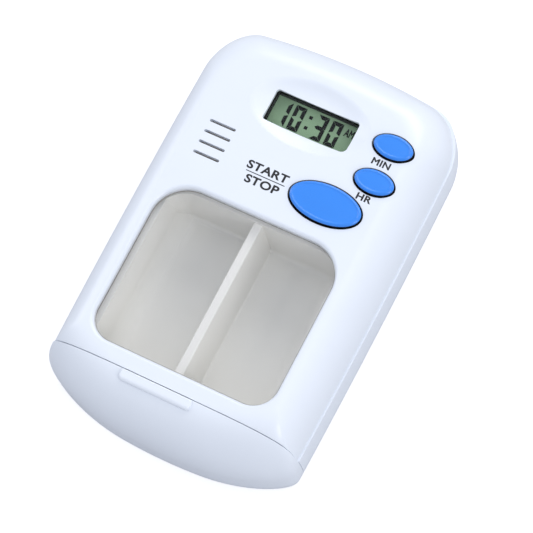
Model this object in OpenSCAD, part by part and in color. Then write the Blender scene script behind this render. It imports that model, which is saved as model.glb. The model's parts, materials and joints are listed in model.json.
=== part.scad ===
// Pill box with alarm timer: two-compartment drawer in a moulded two-part housing.
// Millimetres. Origin at the centre of the base. +Z up, +Y towards the display,
// -Y towards the drawer front, +X to the right when the display is read.

/* [Body] */
// Width over the lower housing
body_w = 59; // [59:0.5:64]
// Length over both ends
body_l = 92; // [92:0.5:100]
// Height of the top face
body_h = 22.2; // [22:0.1:23.5]
// Height of the parting line
parting_z = 9.4; // [9:0.1:10]
// Wall thickness of both housings
wall = 1.8; // [1.6:0.1:2]
// How far the lower housing stands out past the upper one
ledge = 0.35; // [0.2:0.05:0.6]
// Plan radius of the rear corners
corner_r = 12; // [11:0.5:13]
// Plan radius of the front corners
nose_corner_r = 9; // [8:0.5:10]
// Bow of both ends, middle to corner
end_bow = 2; // [1:0.25:2.5]
// Width of the rolled shoulder along each side
shoulder_w = 8.4; // [7:0.2:9]
// Height of the rolled shoulder
shoulder_h = 5.6; // [5:0.2:6.4]
// Depth of the roll at the rear end
back_roll = 4; // [3:0.5:5]
// Height of the drawer front's big round nose
nose_h = 12.6; // [11:0.2:13]
// Radius of the lower edge
base_r = 2.5; // [2:0.1:3]

/* [Drawer] */
// Length of the drawer front, tip to seam
front_l = 10.3; // [10:0.1:11]
// Gap at the seam between drawer front and housings
seam_gap = 0.3; // [0.2:0.05:0.5]
// Travel of the drawer
drawer_travel = 38; // [34:0.5:38]
// Wall of the tray
tray_wall = 1.3; // [1.2:0.1:1.4]
// Height of the compartment floor above the base
tray_floor = 6.3; // [6.2:0.1:6.6]
// Radius of the finger scoop along each side of the tray
scoop_r = 4.5; // [4:0.1:5]
// Inward lean of the tray walls, top to bottom
tray_draft = 0.5; // [0.2:0.1:0.8]
// Thickness of the divider at its top
divider_t = 2; // [1.6:0.1:2.4]
// Extra thickness of the divider at its foot, each side
divider_foot = 0.55; // [0.3:0.05:0.7]
// Drop of the divider below the tray's rim
divider_drop = 0.7; // [0.4:0.1:1.5]
// Length of the pull tab
tab_l = 16.4; // [12:0.2:20]
// Depth of the pull tab, front to back
tab_d = 2.1; // [1.8:0.1:2.6]
// Height of the pull tab above the top face
tab_rise = 0.6; // [0.4:0.1:0.9]
// Side offset of the pull tab
tab_x = -1.8; // [-4:0.1:4]

/* [Window over the compartments] */
// Width of the opening
opening_w = 42; // [40:0.2:42]
// Length of the opening
opening_l = 36.6; // [34:0.2:36.6]
// Corner radius of the opening at the rear
opening_back_r = 8; // [7:0.5:9]
// Corner radius of the opening at the front
opening_front_r = 5.5; // [5:0.5:7]
// Radius of the soft rim round the opening
rim_r = 0.9; // [0.6:0.1:1.2]
// Thickness of the clear pane
pane_t = 1.6; // [1.5:0.1:1.7]
// Width of the pane's flange under the housing
pane_flange = 1.1; // [0.8:0.1:1.2]

/* [Display] */
// Width of the display window
display_w = 19.4; // [17:0.2:20]
// Height of the display window
display_d = 7.4; // [6.6:0.2:8]
// Side offset of the display window
display_x = 0.7; // [-1:0.1:1]
// Display window centre, from the rear end
display_back = 18.6; // [18:0.1:19]
// Width of the oval dish
dish_w = 27.6; // [26:0.2:29]
// Height of the oval dish
dish_d = 15.4; // [14.6:0.2:16]
// Depth of the oval dish
dish_depth = 1; // [0.6:0.1:1.1]
// Dish centre, from the rear end
dish_back = 17.6; // [17.2:0.1:18]
// Depth of the display glass below the top face
glass_depth = 3.7; // [3.5:0.1:3.8]

/* [Keys] */
// Width of the start and stop key
start_w = 16.2; // [14:0.2:16.6]
// Height of the start and stop key
start_d = 8.4; // [7:0.2:8.6]
// Width of the hour and minute keys
key_w = 8.9; // [8:0.1:9.2]
// Height of the hour and minute keys
key_d = 5.3; // [4.8:0.1:5.6]
// How far the keys stand above the top face
key_rise = 0.8; // [0.6:0.1:1]
// Gap between a key and its hole
key_gap = 0.3; // [0.25:0.05:0.4]
// Travel of the keys
key_travel = 0.5; // [0.3:0.05:0.5]
// Sound slot length
slot_l = 6.1; // [5:0.1:7]
// Sound slot width
slot_w = 0.6; // [0.5:0.1:0.8]
// Distance from one sound slot to the next
slot_pitch = 2.5; // [2.2:0.1:2.8]

/* [Battery] */
// Diameter of the button cell
cell_dia = 11.6; // [11.4:0.1:11.8]
// Height of the button cell
cell_h = 5.4; // [5.2:0.1:5.6]
// Diameter of the battery cap
cap_dia = 17; // [16.8:0.1:17.4]
// Turn of the battery cap from closed to free, degrees
cap_turn = 60; // [50:5:70]

/* [Hidden] */
$fn = 64;

// Small overlap used only inside a difference or a union
eps = 0.02;
// Gap between fixed pieces that seat on each other's sides
seat_gap = 0.1;
// Gap between sliding faces
slide_gap = 0.3;

back_y = body_l / 2;
front_y = -body_l / 2;
half_w = body_w / 2;
upper_half_w = half_w - ledge;
ceiling_z = body_h - wall;
seam_y = front_y + front_l;
corner_steps = 9;
end_steps = 6;
roll_steps = 7;

// Opening, pane and tray line up on the same centre line
opening_front_y = seam_y + 3.5;
opening_back_y = opening_front_y + opening_l;
pane_top_z = body_h - 1.1;
pane_flange_z = pane_top_z - pane_t;
tray_top_z = pane_flange_z - slide_gap;
tray_half_w = opening_w / 2 - 1;
tray_in_back_y = opening_back_y - 0.5;
tray_in_front_y = opening_front_y + 0.6;
tray_front_y = seam_y - seam_gap;
tray_back_y = tray_in_back_y + tray_wall;
tray_tail_y = tray_back_y + 2.9;
floor_half_w = tray_half_w - tray_draft - scoop_r;
scoop_z = tray_floor + scoop_r;
lug_l = 2;
lug_z = 10;
lug_h = 4;
guide_x = tray_half_w + tray_wall + 0.6;
guide_t = 1.2;
stop_y = tray_tail_y - lug_l - drawer_travel - seat_gap;

// Board and the keys above it
board_t = 1.2;
board_z = body_h - 9.8;
board_top = board_z + board_t;
board_half_w = 21.9;
board_front_y = back_y - 36.5;
board_back_y = back_y - 5.5;
board_screw_at = [[-18, back_y - 9.5], [19, back_y - 9], [-2, back_y - 33.5]];
switch_size = 5;
switch_h = 3.5;
plunger_d = 2.4;
plunger_top = board_top + switch_h + key_travel + 0.4;
bore_floor = board_top + 1.5;
start_at = [11.7, back_y - 33.6];
hour_at = [18.7, back_y - 25.2];
minute_at = [18.9, back_y - 16.8];
flange_out = 0.7;
slots_at = [-15.8, back_y - 30.6];

// Collar that carries the piezo disc under the sound slots
buzzer_r = 6.4;
buzzer_wall = 0.8;
buzzer_h = 1.8;
buzzer_seat_z = ceiling_z - 0.6;
piezo_t = 0.3;

// Screws that hold the two housings together
case_screw_at = [[-24.4, back_y - 33.6], [24.4, back_y - 33.6],
    [-23.9, back_y - 11.5], [23.9, back_y - 11.5]];
case_boss_r = 2.4;
screw_r = 0.9;
pilot_r = screw_r + 0.05;
screw_head_r = 1.9;
screw_head_h = 1.4;
screw_seat_z = 4.4;
screw_l = 9;

// Battery well in the base
cell_at = [-10, back_y - 19];
cap_r = cap_dia / 2;
cap_t = 1.5;
cap_boss_r = cell_dia / 2 + 0.6;
lug_r = cap_boss_r + 1.5;
lug_low_z = 2.9;
lug_high_z = 3.7;
cell_z = lug_high_z + 0.05;
cell_top = cell_z + cell_h;
well_r = cell_dia / 2 + 0.3;
well_ring_r = cap_r + 1.8;

// Inset of a rolled edge at height z: a is its width, b its height, top its highest point
function roll_in(z, a, b, top) =
    let (u = (z - (top - b)) / b) u <= 0 ? 0 : a * (1 - sqrt(max(0, 1 - u * u)));

// Corner arc of a plan outline
function arc(cx, cy, r, a0) =
    [for (i = [0 : corner_steps]) let (a = a0 + 90 * i / corner_steps)
        [cx + r * cos(a), cy + r * sin(a)]];

// Straight run between two corner arcs, ends left out
function run(x0, x1, y) =
    [for (i = [1 : end_steps - 1]) [x0 + (x1 - x0) * i / end_steps, y]];

// Plan outline with its own rear and front edge, corner radii and bowed ends
function plan(hw, yb, yf, rb, rf, bow = end_bow) =
    let (pts = concat(
        arc(hw - rb, yb - rb, rb, 0), run(hw - rb, rb - hw, yb),
        arc(rb - hw, yb - rb, rb, 90),
        arc(rf - hw, yf + rf, rf, 180), run(rf - hw, hw - rf, yf),
        arc(hw - rf, yf + rf, rf, 270)))
    [for (p = pts) let (end = p.y > 0 ? yb : -yf)
        [p.x, p.y - bow * pow(p.x / half_w, 2) * p.y / end]];

function at_height(pts, z) = [for (p = pts) [p.x, p.y, z]];

// Solid through a stack of outlines that all have the same number of points
module loft(rings) {
    n = len(rings[0]);
    m = len(rings);
    polyhedron(
        points = [for (ring = rings) for (p = ring) p],
        faces = concat(
            [[for (j = [0 : n - 1]) j]],
            [[for (j = [n - 1 : -1 : 0]) (m - 1) * n + j]],
            [for (i = [0 : m - 2]) for (j = [0 : n - 1]) let (k = (j + 1) % n)
                [i * n + j, (i + 1) * n + j, (i + 1) * n + k]],
            [for (i = [0 : m - 2]) for (j = [0 : n - 1]) let (k = (j + 1) % n)
                [i * n + j, (i + 1) * n + k, i * n + k]]));
}

// Outer outline of the whole body at height z, shrunk by t all round
function skin(z, t, hw) =
    let (side = t + roll_in(z, shoulder_w - t, shoulder_h - t, body_h - t),
        back = t + roll_in(z, back_roll - t / 2, shoulder_h - t, body_h - t),
        nose = t + roll_in(z, front_l - seam_gap - t, nose_h - t, body_h - t),
        low = z < base_r + t ? (base_r - t / 2) * (1 - sqrt(max(0, 1 - pow((base_r + t - z) / base_r, 2)))) : 0)
    at_height(plan(hw - side - low, back_y - back - low, front_y + nose + low,
        corner_r - t - 0.45 * (side - t) - low / 2,
        nose_corner_r - t - 0.3 * (side - t) - low / 2), z);

// Heights of the rings over a rolled top edge
function top_levels(t) =
    [for (i = [0 : roll_steps]) let (b = shoulder_h - t)
        body_h - t - b + b * sin(90 * i / roll_steps)];

function low_levels(t) =
    [for (i = [0 : 3]) t + base_r * (1 - cos(90 * i / 3))];

// Box given by its low and high corners
module block(low, high) {
    translate(low) cube(high - low);
}

// Upright oval column
module oval(w, d, z0, z1) {
    translate([0, 0, z0]) scale([w / 2, d / 2, 1]) cylinder(r = 1, h = z1 - z0);
}

// Outline of the opening grown by g, for the rim, the pane and its flange
function opening_plan(g) =
    let (mid = (opening_front_y + opening_back_y) / 2)
    [for (p = plan(opening_w / 2 + g, opening_l / 2 + g, -opening_l / 2 - g,
        opening_back_r + g, opening_front_r + g, 0)) [p.x, p.y + mid]];

module opening_prism(g, z0, z1) {
    translate([0, 0, z0]) linear_extrude(z1 - z0) polygon(opening_plan(g));
}

// Tool that cuts the opening with its softly rounded rim
module opening_cutter() {
    opening_prism(0, ceiling_z - 2, body_h + 1);
    loft([for (i = [0 : 4]) let (a = 90 * i / 4)
        at_height(opening_plan(rim_r * (1 - cos(a)) - eps), body_h + eps - rim_r + rim_r * sin(a))]);
}

// Shallow oval dish round the display
module dish_cutter() {
    translate([0, back_y - dish_back, body_h])
        scale([dish_w / 2, dish_d / 2, 1])
            rotate_extrude($fn = 96) polygon(concat(
                [[0, 0.5], [1, 0.5]],
                [for (i = [0 : 6]) let (r = 1 - i / 6) [r, -dish_depth * (1 - r * r)]]));
}

module display_at() {
    translate([display_x, back_y - display_back, 0]) children();
}

// Window with one large corner radius at the front right
module display_window(g, z0, z1) {
    w = display_w / 2 + g;
    d = display_d / 2 + g;
    r = 1.1;
    translate([0, 0, z0]) linear_extrude(z1 - z0) union() {
        translate([-w, -d]) square([2 * w - r, 2 * d]);
        translate([-w, r - d]) square([2 * w, 2 * d - r]);
        translate([w - r, r - d]) circle(r = r, $fn = 32);
    }
}

module sound_slots() {
    for (i = [-1.5 : 1 : 1.5])
        translate([slots_at.x, slots_at.y + i * slot_pitch, ceiling_z - 1]) linear_extrude(wall + 2) {
            square([slot_l - slot_w, slot_w], center = true);
            for (s = [-1, 1])
                translate([s * (slot_l - slot_w) / 2, 0]) circle(d = slot_w, $fn = 24);
        }
}

module key_hole(at, w, d) {
    translate([at.x, at.y, 0]) oval(w + 2 * key_gap, d + 2 * key_gap, ceiling_z - 1, body_h + 1);
}

// Room for the flange of a small key where the shoulder's inside comes down
module flange_pocket(at) {
    g = 2 * (flange_out + key_gap);
    translate([at.x, at.y, 0]) oval(key_w + g, key_d + g, ceiling_z - 3, ceiling_z);
}

// Inner space of a housing, open towards the drawer front
module inner_space(levels, hw, t) {
    loft([for (z = levels)
        let (side = t + roll_in(z, shoulder_w - t, shoulder_h - t, body_h - t),
            back = t + roll_in(z, back_roll - t / 2, shoulder_h - t, body_h - t))
        at_height(plan(hw - side, back_y - back, front_y - 5,
            corner_r - t - 0.45 * (side - t), 1, end_bow), z)]);
}

// Part of space behind the seam, where the housings are
module behind_seam() {
    intersection() {
        children();
        block([-body_w, seam_y, -1], [body_w, body_l, body_h + 5]);
    }
}

module upper_housing() {
    board_boss_r = 2;
    color([0.92, 0.94, 0.98]) {
        difference() {
            union() {
                difference() {
                    behind_seam() loft([for (z = concat([parting_z], top_levels(0)))
                        skin(z, 0, upper_half_w)]);
                    inner_space(concat([parting_z - 1], top_levels(wall)), upper_half_w, wall);
                }
                upper_posts(board_boss_r);
                buzzer_collar();
                drawer_stops();
            }
            opening_cutter();
            opening_prism(pane_flange + seat_gap, ceiling_z - 3, ceiling_z);
            dish_cutter();
            display_at() display_window(0, ceiling_z - 3, body_h + 1);
            display_at() lens_pocket();
            key_hole(start_at, start_w, start_d);
            key_hole(hour_at, key_w, key_d);
            key_hole(minute_at, key_w, key_d);
            flange_pocket(hour_at);
            flange_pocket(minute_at);
            sound_slots();
            for (p = case_screw_at)
                translate([p.x, p.y, parting_z - 1])
                    cylinder(r = pilot_r, h = screw_seat_z + screw_l + 1.5 - parting_z, $fn = 32);
            for (p = board_screw_at)
                translate([p.x, p.y, board_top - 1]) cylinder(r = 0.75, h = 5, $fn = 32);
        }
    }
}

lens_w = display_w + 3;
lens_d = display_d + 2.4;
lens_t = 0.6;
lens_top = ceiling_z + 0.25;

module lens_pocket() {
    block([-lens_w / 2 - seat_gap, -lens_d / 2 - seat_gap, ceiling_z - 1],
        [lens_w / 2 + seat_gap, lens_d / 2 + seat_gap, lens_top]);
}

// Screw posts that hang from the top wall
module upper_posts(board_boss_r) {
    for (p = case_screw_at)
        translate([p.x, p.y, parting_z]) cylinder(r = case_boss_r, h = ceiling_z - parting_z - 1.5, $fn = 48);
    for (p = board_screw_at)
        translate([p.x, p.y, board_top]) cylinder(r = board_boss_r, h = ceiling_z - board_top + eps, $fn = 48);
}

// Stepped collar round the sound slots
module buzzer_collar() {
    translate([slots_at.x, slots_at.y, 0]) difference() {
        translate([0, 0, ceiling_z - buzzer_h]) cylinder(r = buzzer_r, h = buzzer_h + eps);
        cylinder(r = buzzer_r - buzzer_wall, h = buzzer_seat_z);
        translate([0, 0, 1]) cylinder(r = buzzer_r - 2 * buzzer_wall, h = body_h);
    }
}

// Posts beside the drawer that its tail lugs meet at full travel
module drawer_stops() {
    for (s = [-1, 1]) {
        x0 = guide_x + 0.2;
        translate([s > 0 ? x0 : -upper_half_w + wall / 2, stop_y - 1.7, parting_z])
            cube([upper_half_w - wall / 2 - x0, 1.7, ceiling_z - 1.2 - parting_z]);
    }
}

module lower_housing() {
    color([0.9, 0.92, 0.96]) {
        difference() {
            union() {
                difference() {
                    behind_seam() loft([for (z = concat(low_levels(0), [parting_z]))
                        skin(z, 0, half_w)]);
                    inner_space([wall, parting_z + 1], upper_half_w, wall);
                }
                lower_posts();
                drawer_guides();
                battery_ring();
                parting_lip();
            }
            for (p = case_screw_at) {
                translate([p.x, p.y, -1]) cylinder(r = screw_head_r + 0.25, h = screw_seat_z + 1, $fn = 48);
                translate([p.x, p.y, 0]) cylinder(r = screw_r + 0.2, h = parting_z + 2, $fn = 32);
            }
            battery_well();
        }
    }
}

// Screw tubes and the cross wall behind the drawer
module lower_posts() {
    for (p = case_screw_at)
        translate([p.x, p.y, 0.5]) cylinder(r = case_boss_r + 0.8, h = parting_z - 0.5, $fn = 48);
    block([-upper_half_w + wall / 2, tray_tail_y + slide_gap, wall / 2],
        [upper_half_w - wall / 2, tray_tail_y + slide_gap + 1, parting_z]);
}

// Two floor ribs that carry the tray and two side ribs that guide it
module drawer_guides() {
    tray_bottom = tray_floor - tray_wall;
    for (s = [-1, 1]) {
        translate([s * (floor_half_w - 2) - 0.6, seam_y, wall / 2])
            cube([1.2, tray_tail_y - seam_y, tray_bottom - slide_gap - wall / 2]);
        translate([s > 0 ? guide_x : -guide_x - guide_t, seam_y, wall / 2])
            cube([guide_t, tray_tail_y - seam_y, lug_z - slide_gap - wall / 2]);
    }
}

// One outline of the lip, inset by g from the upper housing's outside
module lip_outline(g, front) {
    polygon(plan(upper_half_w - g, back_y - g, front, corner_r - g, 1));
}

// Low lip inside the parting line that centres the upper housing
module parting_lip() {
    lip_h = 1;
    lip_t = 0.8;
    g = wall + seat_gap;
    difference() {
        intersection() {
            union() {
                translate([0, 0, parting_z - 1]) linear_extrude(lip_h + 1) lip_outline(g, front_y - 5);
                translate([0, 0, parting_z - 1.5]) linear_extrude(1.5) lip_outline(wall - 0.3, front_y - 5);
            }
            block([-body_w, seam_y, 0], [body_w, body_l, body_h]);
        }
        translate([0, 0, parting_z - 2]) linear_extrude(lip_h + 3) lip_outline(g + lip_t, front_y - 6);
        for (p = case_screw_at)
            translate([p.x, p.y, parting_z]) cylinder(r = case_boss_r + 0.9, h = 3, $fn = 48);
        for (s = [-1, 1])
            translate([s * half_w, stop_y - 0.85, parting_z + 1.5]) cube([16, 2.4, 3], center = true);
    }
}

module battery_ring() {
    translate([cell_at.x, cell_at.y, 0.5]) cylinder(r = well_ring_r, h = lug_high_z + 1.2);
    translate([cell_at.x, cell_at.y, 1]) cylinder(r = well_r + 1.2, h = cell_top - 1.6);
}

// Round pocket in the base: cap recess, bayonet ledge with two notches, cell bore
module battery_well() {
    translate([cell_at.x, cell_at.y, 0]) {
        translate([0, 0, -1]) cylinder(r = cap_r + slide_gap, h = cap_t + 1.3);
        translate([0, 0, -1]) cylinder(r = cap_boss_r + slide_gap, h = 6);
        translate([0, 0, lug_low_z - 0.3]) cylinder(r = lug_r + slide_gap, h = lug_high_z - lug_low_z + 0.6);
        cylinder(r = well_r, h = cell_top + 2);
        rotate(cap_turn) bayonet_lugs(lug_r + slide_gap - 0.05, 0, lug_high_z, 24);
        translate([well_r - 1, -2, lug_high_z + 0.3]) cube([4, 4, 12]);
    }
}

// Two opposite lugs between heights z0 and z1, half_a degrees to each side of the X axis
module bayonet_lugs(r, z0, z1, half_a) {
    translate([0, 0, z0]) linear_extrude(z1 - z0) intersection() {
        circle(r = r);
        union() for (s = [0, 180])
            rotate(s) polygon([[0, 0], [2 * r, -2 * r * tan(half_a)], [2 * r, 2 * r * tan(half_a)]]);
    }
}

// Clear pane let into the opening from below, its flange welded under the top wall
module window_pane() {
    color([0.85, 0.92, 0.95, 0.25]) {
        opening_prism(-0.15, pane_flange_z, pane_top_z);
        opening_prism(pane_flange, pane_flange_z, ceiling_z);
    }
}

module display_lens() {
    color([0.85, 0.92, 0.95, 0.25]) display_at()
        block([-lens_w / 2, -lens_d / 2, lens_top - lens_t], [lens_w / 2, lens_d / 2, lens_top]);
}

glass_w = display_w + 3.4;
glass_d = display_d + 2.6;
glass_t = 1.6;
glass_top = body_h - glass_depth;
holder_w = glass_w + 2;
holder_d = glass_d + 3;

// Black frame that holds the glass between the lens and the board
module lcd_holder() {
    color([0.06, 0.06, 0.07]) display_at() difference() {
        block([-holder_w / 2, -holder_d / 2, board_top], [holder_w / 2, holder_d / 2, lens_top - lens_t]);
        block([-glass_w / 2 - seat_gap, -glass_d / 2 - seat_gap, board_top - 1],
            [glass_w / 2 + seat_gap, glass_d / 2 + seat_gap, glass_top]);
        display_window(0.15, board_top, body_h);
    }
}

// Two glass plates: the rear one is longer and carries the contact ledge
module lcd_glass() {
    color([0.47, 0.58, 0.46]) display_at() {
        block([-glass_w / 2, -glass_d / 2 + 1.5, glass_top - glass_t / 2], [glass_w / 2, glass_d / 2, glass_top]);
        block([-glass_w / 2, -glass_d / 2, glass_top - glass_t], [glass_w / 2, glass_d / 2, glass_top - glass_t / 2]);
    }
}

// Striped rubber strip that joins the glass to the board
module zebra_strip() {
    color([0.85, 0.45, 0.55]) display_at()
        block([-glass_w / 2 + 1, -glass_d / 2 + 0.2, board_top], [glass_w / 2 - 1, -glass_d / 2 + 2.2, glass_top - glass_t]);
}

module circuit_board() {
    color([0.12, 0.4, 0.22]) difference() {
        block([-board_half_w, board_front_y, board_z], [board_half_w, board_back_y, board_top]);
        for (p = case_screw_at)
            translate([p.x, p.y, board_z - 1]) cylinder(r = case_boss_r + 0.4, h = board_t + 2, $fn = 48);
        for (p = board_screw_at)
            translate([p.x, p.y, board_z - 1]) cylinder(r = 1.1, h = board_t + 2, $fn = 32);
    }
}

chip_at = [6, back_y - 18];

// Domed black resin over the bare chip, under the board
module controller_chip() {
    color([0.05, 0.05, 0.05]) translate([chip_at.x, chip_at.y, board_z]) intersection() {
        translate([0, 0, 4.2]) sphere(r = 6, $fn = 64);
        translate([0, 0, -1.8]) cylinder(r = 5, h = 1.8);
    }
}

module clock_crystal() {
    color([0.75, 0.76, 0.78]) translate([chip_at.x + 9, chip_at.y - 3, board_z - 1])
        rotate([-90, 0, 0]) cylinder(r = 1, h = 6, $fn = 32);
}

// Drum-core coil that drives the buzzer
module buzzer_coil() {
    color([0.55, 0.3, 0.15]) translate([-13, back_y - 31, board_z - 4]) rotate_extrude()
        polygon([[0, 0], [3, 0], [3, 0.8], [2.5, 0.8], [2.5, 3.2], [3, 3.2], [3, 4], [0, 4]]);
}

module board_capacitors() {
    color([0.6, 0.45, 0.3]) for (i = [0 : 2])
        translate([12 + i * 2.6, back_y - 30, board_z - 0.9]) cube([1.3, 2, 0.9]);
}

module at_keys() {
    for (p = [start_at, hour_at, minute_at]) translate([p.x, p.y, 0]) children();
}

// Switch bodies on the board, one under each key
module tact_switches() {
    color([0.15, 0.15, 0.16]) at_keys() difference() {
        block([-switch_size / 2, -switch_size / 2, board_top], [switch_size / 2, switch_size / 2, board_top + switch_h]);
        translate([0, 0, bore_floor]) cylinder(d = plunger_d + 2 * slide_gap, h = switch_h, $fn = 32);
    }
}

// Pin of a tact switch: it moves with the key above it
module plunger(at) {
    color([0.1, 0.1, 0.1]) translate([at.x, at.y, plunger_top])
        mirror([0, 0, 1]) cylinder(d = plunger_d, h = plunger_top - bore_floor - key_travel - 0.2, $fn = 32);
}

// One outline of a key's crown, inset by g
function crown_ring(w, d, g, z) =
    [for (i = [0 : 59]) [(w / 2 - g) * cos(6 * i), (d / 2 - g) * sin(6 * i), z]];

// Oval key: crown with a rolled edge, flange under the top wall, stem to the switch
module key(at, w, d) {
    crown_z = body_h + key_rise;
    flange_z = ceiling_z - seat_gap;
    flange_t = 1;
    color([0.2, 0.55, 0.95]) translate([at.x, at.y, 0]) {
        oval(w, d, flange_z - flange_t, crown_z - 0.6);
        loft([for (p = [[eps, -0.8], [eps, -0.6], [0.07, -0.4], [0.2, -0.23], [0.45, -0.12],
            [0.3 * d / 2, -0.06], [0.65 * d / 2, 0]]) crown_ring(w, d, p.x, crown_z + p.y)]);
        oval(w + 2 * flange_out, d + 2 * flange_out, flange_z - flange_t, flange_z);
        translate([0, 0, plunger_top]) cylinder(r = 1.6, h = flange_z - plunger_top - 0.5, $fn = 32);
    }
}

// Brass disc seated in the collar under the sound slots
module piezo_disc() {
    color([0.8, 0.65, 0.3]) translate([slots_at.x, slots_at.y, buzzer_seat_z - piezo_t])
        cylinder(r = buzzer_r - buzzer_wall - seat_gap, h = piezo_t);
}

// Two bent leaf springs from the board up to the piezo disc
module buzzer_contacts() {
    h = buzzer_seat_z - piezo_t - board_top;
    leaf_w = 1.6;
    color([0.8, 0.7, 0.4]) for (s = [-1, 1])
        translate([slots_at.x + s * 2.5 - leaf_w / 2, slots_at.y - 1, board_top])
            rotate([90, 0, 90]) linear_extrude(leaf_w) polygon([
                [-1.4, 0], [1.2, 0], [1.2, 0.25], [0.25, 0.25], [2.2, h - 0.6], [2, h],
                [1.5, h], [1.8, h - 0.6], [-0.2, 0.25], [-1.4, 0.25]]);
}

// Stepped button cell: wide can below, narrower cap on top
module button_cell() {
    color([0.78, 0.79, 0.8]) translate([cell_at.x, cell_at.y, cell_z]) rotate_extrude() polygon([
        [0, 0], [cell_dia / 2 - 0.4, 0], [cell_dia / 2, 0.4], [cell_dia / 2, cell_h - 0.7],
        [cell_dia / 2 - 0.5, cell_h - 0.4], [cell_dia / 2 - 1, cell_h - 0.4],
        [cell_dia / 2 - 1.2, cell_h], [0, cell_h]]);
}

// Leaf that comes down through the slot of the well and touches the side of the cell
module positive_contact() {
    color([0.8, 0.8, 0.78]) translate([cell_at.x + cell_dia / 2, cell_at.y - 1.5, 0])
        rotate([90, 0, 0]) mirror([0, 0, 1]) linear_extrude(3) polygon([
            [0.1, cell_z + 2], [0.4, cell_z + 1], [0.6, cell_z + 1], [0.45, cell_z + 2.4],
            [1.3, board_z - 0.25], [3, board_z - 0.25], [3, board_z], [1, board_z], [0.15, cell_z + 2.6]]);
}

// Spring leaf under the board that presses on the top of the cell
module negative_contact() {
    color([0.8, 0.8, 0.78]) translate([cell_at.x, cell_at.y - 1.5, 0])
        rotate([90, 0, 0]) mirror([0, 0, 1]) linear_extrude(3) polygon([
            [-5, board_z], [-5, board_z - 0.25], [-3.2, board_z - 0.25], [-0.6, cell_top + 0.05],
            [0.6, cell_top + 0.05], [1.2, cell_top + 0.6], [1, cell_top + 0.75], [0.4, cell_top + 0.3],
            [-0.4, cell_top + 0.3], [-3, board_z]]);
}

// Bayonet cap with a coin slot, flush in the base
module battery_cap() {
    color([0.9, 0.92, 0.96]) translate([cell_at.x, cell_at.y, 0]) difference() {
        union() {
            translate([0, 0, 0.1]) cylinder(r = cap_r, h = cap_t - 0.1);
            translate([0, 0, 0.1]) cylinder(r = cap_boss_r, h = lug_high_z - 0.1);
            bayonet_lugs(lug_r, lug_low_z, lug_high_z, 16);
        }
        block([-cap_r * 0.55, -0.9, -1], [cap_r * 0.55, 0.9, 0.9]);
    }
}

// Pan-head screw with its head at the origin, shank upwards
module screw(head_r, head_h, r, l) {
    difference() {
        union() {
            translate([0, 0, -head_h]) cylinder(r = head_r, h = head_h, $fn = 48);
            cylinder(r = r, h = l, $fn = 32);
        }
        for (a = [0, 90]) rotate(a)
            translate([0, 0, -head_h]) cube([head_r * 1.2, 0.4, 1], center = true);
    }
}

module case_screws() {
    color([0.7, 0.71, 0.73]) for (p = case_screw_at)
        translate([p.x, p.y, screw_seat_z]) screw(screw_head_r, screw_head_h, screw_r, screw_l);
}

module board_screws() {
    color([0.7, 0.71, 0.73]) for (p = board_screw_at)
        translate([p.x, p.y, board_z]) screw(1.6, 1, 0.7, board_t + 3.4);
}

// Half of the tray's section as a polygon: t is how far it lies outside the compartment's wall
function tray_section(t, top) = concat(
    [[-tray_half_w - t, top]],
    [for (i = [0 : 8]) let (a = 180 + 90 * i / 8)
        [-floor_half_w + (scoop_r + t) * cos(a), scoop_z + (scoop_r + t) * sin(a)]],
    [for (i = [0 : 8]) let (a = 270 + 90 * i / 8)
        [floor_half_w + (scoop_r + t) * cos(a), scoop_z + (scoop_r + t) * sin(a)]],
    [[tray_half_w + t, top]]);

module along_y(y0, y1) {
    translate([0, y1, 0]) rotate([90, 0, 0]) linear_extrude(y1 - y0) children();
}

// Space of both compartments, before the divider is put back
module compartments() {
    mid = (tray_in_back_y + tray_in_front_y) / 2;
    len_y = tray_in_back_y - tray_in_front_y;
    intersection() {
        along_y(tray_in_front_y - 1, tray_in_back_y + 1) polygon(tray_section(0, tray_top_z + 1));
        translate([0, mid, 0]) linear_extrude(body_h) polygon(plan(tray_half_w + 1, len_y / 2, -len_y / 2,
            opening_back_r - 1, opening_front_r - 0.5, 0));
        rotate([90, 0, 90]) translate([0, 0, -half_w]) linear_extrude(body_w) polygon([
            [tray_in_front_y, tray_top_z + 1], [tray_in_front_y + 0.8, tray_floor + 0.8],
            [tray_in_front_y + 1.6, tray_floor], [tray_in_back_y - 1.6, tray_floor],
            [tray_in_back_y - 0.8, tray_floor + 0.8], [tray_in_back_y, tray_top_z + 1]]);
    }
}

// Wall between the compartments, thicker at its foot, with a rounded top edge
module divider() {
    top = tray_top_z - divider_drop;
    h = divider_t / 2;
    r = 0.35;
    along_y(tray_in_front_y - 0.5, tray_in_back_y + 0.5) polygon([
        [-h - divider_foot, tray_floor - 0.5], [h + divider_foot, tray_floor - 0.5],
        [h + divider_foot, tray_floor], [h, top - r], [h - 0.1, top - 0.1], [h - r, top],
        [r - h, top], [0.1 - h, top - 0.1], [-h, top - r], [-h - divider_foot, tray_floor]]);
}

module drawer_tray() {
    plate_t = 1.5;
    color([0.93, 0.93, 0.92]) {
        difference() {
            union() {
                along_y(tray_front_y - 0.1, tray_back_y) polygon(tray_section(tray_wall, tray_top_z));
                tray_tail();
                front_plate(plate_t);
            }
            compartments();
            block([-tray_half_w + 2, tray_front_y + 1.2, tray_floor + 2],
                [tray_half_w - 2, tray_in_front_y - tray_wall, body_h]);
        }
        divider();
    }
}

// Two side arms behind the compartments with the lugs that stop the drawer
module tray_tail() {
    for (s = [-1, 1]) {
        x0 = tray_half_w - 0.5;
        x1 = tray_half_w + tray_wall;
        translate([s > 0 ? x0 : -x1, tray_back_y - 4, lug_z - 2]) cube([x1 - x0, tray_tail_y - tray_back_y + 4, lug_h + 4]);
        translate([s > 0 ? x0 : -x1 - 1.9, tray_tail_y - lug_l, lug_z]) cube([x1 - x0 + 1.9, lug_l, lug_h]);
    }
}

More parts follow.
